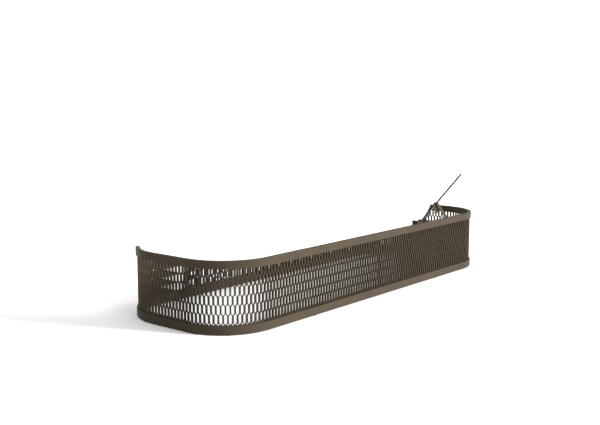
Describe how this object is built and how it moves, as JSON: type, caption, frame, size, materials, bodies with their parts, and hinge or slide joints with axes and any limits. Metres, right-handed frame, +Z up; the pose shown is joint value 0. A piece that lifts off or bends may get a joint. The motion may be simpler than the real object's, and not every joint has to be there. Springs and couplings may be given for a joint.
{
  "type": "fireplace screen",
  "caption": "Low hearth screen: a rounded mesh wall between metal rails with a swept-down back, and a folding prop arm on a strut.",
  "frame": {"origin": "middle of the plan, on the floor", "axes": "+X along the length towards the end with the prop arm, -Y the front that faces the room, +Z up"},
  "size_m": [1.382, 0.457, 0.3425],
  "materials": {
    "rail_coat": "satin taupe powder coat",
    "mesh_coat": "satin taupe powder coat on expanded mesh",
    "arm_coat": "satin taupe powder coat",
    "steel_hardware": "bronzed zinc plate",
    "dark_plastic": "moulded matte",
    "rubber_pad": "matte"
  },
  "bodies": {
    "screen": {"bottom_rail_left": "rail_coat", "bottom_rail_right": "rail_coat", "top_rail_left": "rail_coat", "top_rail_right": "rail_coat", "edge_rail_left": "rail_coat", "edge_rail_right": "rail_coat", "post_front_middle": "rail_coat", "post_back_middle": "rail_coat", "post_back_left": "rail_coat", "post_back_right": "rail_coat", "hinge_bracket": "rail_coat", "guide_plate": "rail_coat", "mesh_front_left": "mesh_coat", "mesh_front_right": "mesh_coat", "mesh_corner_front_right": "mesh_coat", "mesh_end_right": "mesh_coat", "mesh_corner_back_right": "mesh_coat", "mesh_back_right": "mesh_coat", "mesh_back_left": "mesh_coat", "mesh_corner_back_left": "mesh_coat", "mesh_end_left": "mesh_coat", "mesh_corner_front_left": "mesh_coat", "sleeve_bottom_front": "steel_hardware", "sleeve_bottom_back": "steel_hardware", "sleeve_top_front": "steel_hardware", "post_screws": "rail_coat", "hinge_pin": "steel_hardware", "hinge_bush_outer": "steel_hardware", "hinge_bush_inner": "steel_hardware", "bracket_screws": "rail_coat", "guide_spacers": "steel_hardware", "guide_screws": "steel_hardware", "rail_plug_left": "dark_plastic", "rail_plug_right": "dark_plastic", "foot_pads": "rubber_pad"},
    "arm": {"arm_bar": "arm_coat", "arm_tip": "arm_coat", "hook_plate": "arm_coat", "hook_rivet": "steel_hardware"},
    "prop": {"strut": "arm_coat", "strut_pin": "steel_hardware", "strut_washer": "steel_hardware", "brace": "arm_coat", "foot_tube": "arm_coat", "foot_tube_cap": "dark_plastic", "guide_peg": "steel_hardware", "peg_washer": "steel_hardware"}
  },
  "joints": [
    {"name": "arm_hinge", "type": "hinge", "parent": "screen", "child": "arm", "pos_m": [0.243, -0.202, 0.1864], "axis": [0, -1, 0], "range_deg": [-27.6, 12.4]},
    {"name": "strut_pivot", "type": "hinge", "parent": "arm", "child": "prop", "pos_m": [0.36884, -0.202, 0.25219], "axis": [0, -1, 0], "range_deg": [-28, 61.5]}
  ],
  "couplings": [
    {"joint": "strut_pivot", "follows": "arm_hinge", "ratio": -2.2}
  ]
}
